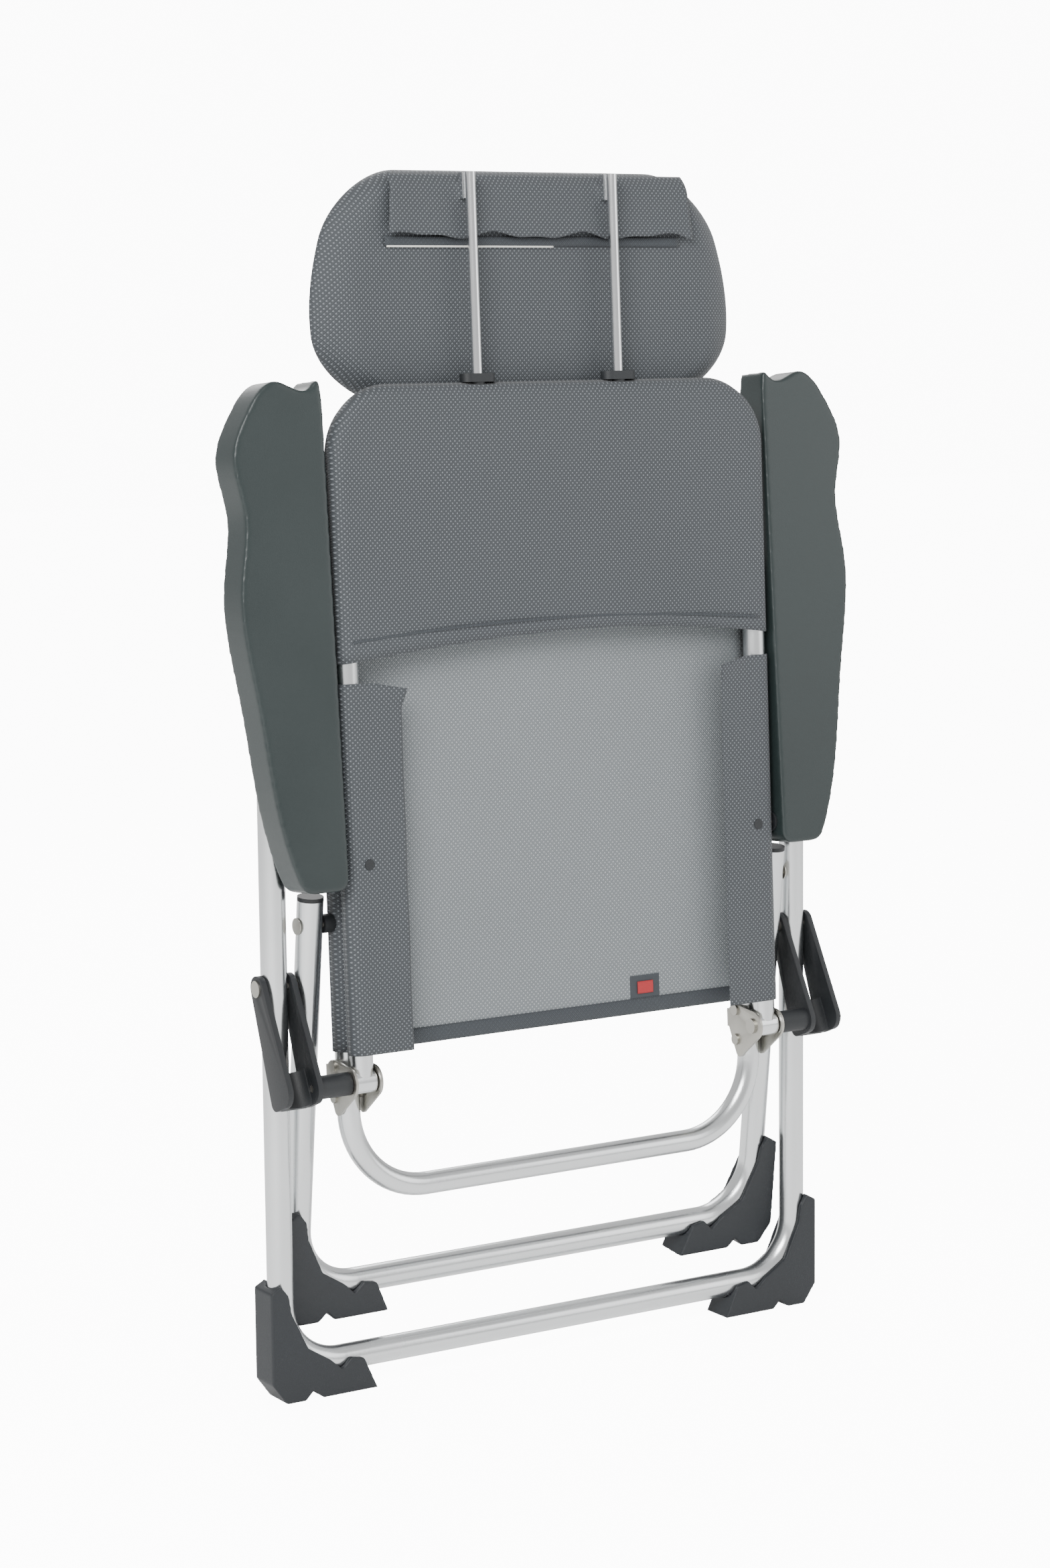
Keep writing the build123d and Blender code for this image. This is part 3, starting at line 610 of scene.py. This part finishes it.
def seat_shape(sign, low):
    """Shape of the seat's upper cloth, or of the turned hem at its front edge."""

    def shape(u, v):
        across = (2 * spread(u, 0.6) - 1) * EDGE
        along = low + (SEAT_TOP - low) * v**0.8
        x, s, depth = corner_turn(across, along, EDGE, SEAT_TOP, SEAT_CORNER)
        return seat_point(x, s, sign * tube_profile(depth))

    return shape


seat_cloth = cloth_grid("seat_cover", 80, 90, seat_shape(1, SEAT_LOW))
finish_piece(seat_cloth, "seat", "mesh_cloth", "seat_mesh")
front_hem = cloth_grid("seat_front_hem", 80, 24, seat_shape(-1, SEAT_TOP - 70 * MM))
finish_piece(front_hem, "seat", "hem_cloth")
SEAT_HEM_TOP = SEAT_TOP - 80 * MM
for side_name, side in (("left", -1), ("right", 1)):
    hem = cloth_grid(
        f"seat_side_hem_{side_name}",
        24,
        70,
        hem_shape(side, seat_point, -1, SEAT_LOW, SEAT_HEM_TOP, 0.0),
    )
    finish_piece(hem, "seat", "hem_cloth")
print("seat cover made")

# %% [markdown]
# ## Headrest
# The headrest is a foam pad sewn into mesh, wide and rounded, on two steel rods. Its two faces are grids on
# the pad's outline that meet at a seam all round. A flap hangs over the rods' tops behind it.

# %% Headrest pad
HEAD_LOW = 627 * MM
HEAD_HIGH = 845 * MM
PAD_REAR = -16 * MM
PAD_T = 50 * MM


def head_half_width(t):
    """Half width of the pad at a share of its height."""
    return 0.212 + 0.028 * math.sin(math.pi * min(max(t, 0.0), 1.0) ** 0.8) - 0.012 * t


def pad_shape(sign):
    """Shape of the pad's rear (+1) or front (-1) face."""

    def shape(u, v):
        a, b = 2 * spread(u, 0.7) - 1, 2 * spread(v, 0.7) - 1
        wide, tall = 0.3, 0.6
        p, q = (abs(a) - (1 - wide)) / wide, (abs(b) - (1 - tall)) / tall
        if p > 0 and q > 0:
            shrink = max(p, q) / math.hypot(p, q)
            p, q = p * shrink, q * shrink
            a = math.copysign(1 - wide + p * wide, a)
            b = math.copysign(1 - tall + q * tall, b)
            share = (wide * p * p + tall * q * q) / (p * p + q * q)
            inset = share * (1 - math.hypot(p, q))
        else:
            inset = min(1 - abs(a), 1 - abs(b))
        t = (b + 1) / 2
        turn_in = 0.2 if sign > 0 else 0.34
        swell = 1 - (1 - min(inset / turn_in, 1)) ** 2.4
        pucker = 0.8 * MM * math.sin(a * 34 + b * 5) * (1 - min(inset / 0.3, 1))
        middle = PAD_REAR - PAD_T * 0.42
        rear_reach, front_reach = PAD_T * 0.42 - 1 * MM, PAD_T * 0.56
        lift = rear_reach if sign > 0 else front_reach
        along = HEAD_LOW + (HEAD_HIGH - HEAD_LOW) * t
        return back_point(a * head_half_width(t), along, middle + sign * (lift * swell + pucker * swell))

    return shape


pad_rear = cloth_grid("headrest_pad_rear", 90, 60, pad_shape(1), 0.5 * MM)
pad_front = cloth_grid("headrest_pad_front", 90, 60, pad_shape(-1), 0.5 * MM)
only(pad_rear)
pad_front.select_set(True)
bpy.ops.object.join()
headrest_pad = bpy.context.object
headrest_pad.name = "headrest_cushion"
finish_piece(headrest_pad, "headrest", "pad_cloth", "headrest_pad")

# %% Headrest flap
FLAP_TOP = HEAD_HIGH - 4 * MM
FLAP_LOW = 783 * MM


def flap_shape(u, v):
    """Flap over the rods' tops, with a wavy lower edge that stands off the pad."""
    half = 0.171 - 0.006 * v
    x = 8 * MM + (2 * u - 1) * half
    wavy = (2.5 * math.sin(u * 23) + 1.5 * math.sin(u * 41 + 1)) * MM * (1 - v) ** 3
    s = FLAP_LOW + (FLAP_TOP - FLAP_LOW) * v + wavy
    off = 6 * MM * (1 - v) ** 2 + wavy * 0.4
    over = 9 * MM * max(v - 0.7, 0) ** 2 / 0.09
    return back_point(x, s, PAD_REAR + 3.5 * MM + off * 0.6 - over)


flap = cloth_grid("headrest_rear_flap", 80, 20, flap_shape, 1.2 * MM)
finish_piece(flap, "headrest", "hem_cloth", "headrest_flap")
# A dark strip on the pad just below the flap's lower edge: painted shade in the gap under the flap.
strip(
    "flap_gap_painted_shade",
    back_point,
    (-0.165, FLAP_LOW - 5 * MM),
    (0.165, FLAP_LOW - 5 * MM),
    9 * MM,
    PAD_REAR + 0.4 * MM,
    "headrest",
    "hem_cloth",
    binding,
)
strip(
    "flap_thread",
    back_point,
    (-0.163, FLAP_LOW - 10 * MM),
    (0.02, FLAP_LOW - 10 * MM),
    1.4 * MM,
    PAD_REAR + 0.6 * MM,
    "headrest",
    "hem_cloth",
    thread_white,
    0.4 * MM,
)
print("headrest made")

# %% [markdown]
# ## Studio
# A pale floor and soft light from large lamps, with the camera where a standing person would hold it.

# %% Floor, light and camera
bpy.ops.object.select_all(action="DESELECT")
bpy.ops.mesh.primitive_plane_add(size=30)
floor = bpy.context.object
floor.name = "studio_floor"
floor_material, floor_tree, floor_shader = new_material(
    "pale_floor",
    Base_Color=linear("#f4f4f3"),
    Roughness=0.8,
    Emission_Color=linear("#ffffff"),
)
floor_ray = add_node(floor_tree, "ShaderNodeLightPath")
floor_glow = add_node(
    floor_tree,
    "ShaderNodeMapRange",
    {"Value": floor_ray.outputs["Is Camera Ray"], "To Min": 0.3, "To Max": 11.0},
)
floor_tree.links.new(floor_glow.outputs["Result"], floor_shader.inputs["Emission Strength"])
floor.data.materials.append(floor_material)

world = bpy.data.worlds.new("studio")
bpy.context.scene.world = world
world.use_nodes = True
studio_sky = world.node_tree.nodes["Background"]
studio_sky.inputs["Color"].default_value = linear("#fafafa")
ray = add_node(world.node_tree, "ShaderNodeLightPath")
backdrop = add_node(
    world.node_tree,
    "ShaderNodeMapRange",
    {"Value": ray.outputs["Is Camera Ray"], "To Min": 0.8, "To Max": 12.0},
)
world.node_tree.links.new(backdrop.outputs["Result"], studio_sky.inputs["Strength"])


def soft_light(name, place, target, size, power):
    """Square area light that faces a point."""
    data = bpy.data.lights.new(name, "AREA")
    data.size = size
    data.energy = power
    light = bpy.data.objects.new(name, data)
    bpy.context.collection.objects.link(light)
    light.location = place
    light.rotation_euler = (Vector(target) - Vector(place)).to_track_quat("-Z", "Y").to_euler()


soft_light("key", (-2.6, -2.2, 2.8), (0, 0, 0.6), 2.0, 170)
soft_light("fill", (2.8, -2.6, 1.8), (0, 0, 0.5), 2.4, 35)
soft_light("rim", (0.8, 2.8, 2.6), (0, 0, 0.8), 2.0, 50)

SENSOR_H = 36.0
camera_data = bpy.data.cameras.new("camera")
camera_data.sensor_fit = "VERTICAL"
camera_data.sensor_height = SENSOR_H
camera_data.lens = 78.8
camera = bpy.data.objects.new("camera", camera_data)
bpy.context.collection.objects.link(camera)
camera.location = (-1.762, -2.787, 1.003)
AZIMUTH, PITCH, ROLL = 32.0, 7.6, -0.6
heading = math.radians(AZIMUTH)
look = Vector((math.sin(heading), math.cos(heading), -math.tan(math.radians(PITCH))))
camera.rotation_mode = "QUATERNION"
roll = Matrix.Rotation(math.radians(ROLL), 3, "Z").to_quaternion()
camera.rotation_quaternion = look.to_track_quat("-Z", "Y") @ roll
bpy.context.scene.camera = camera
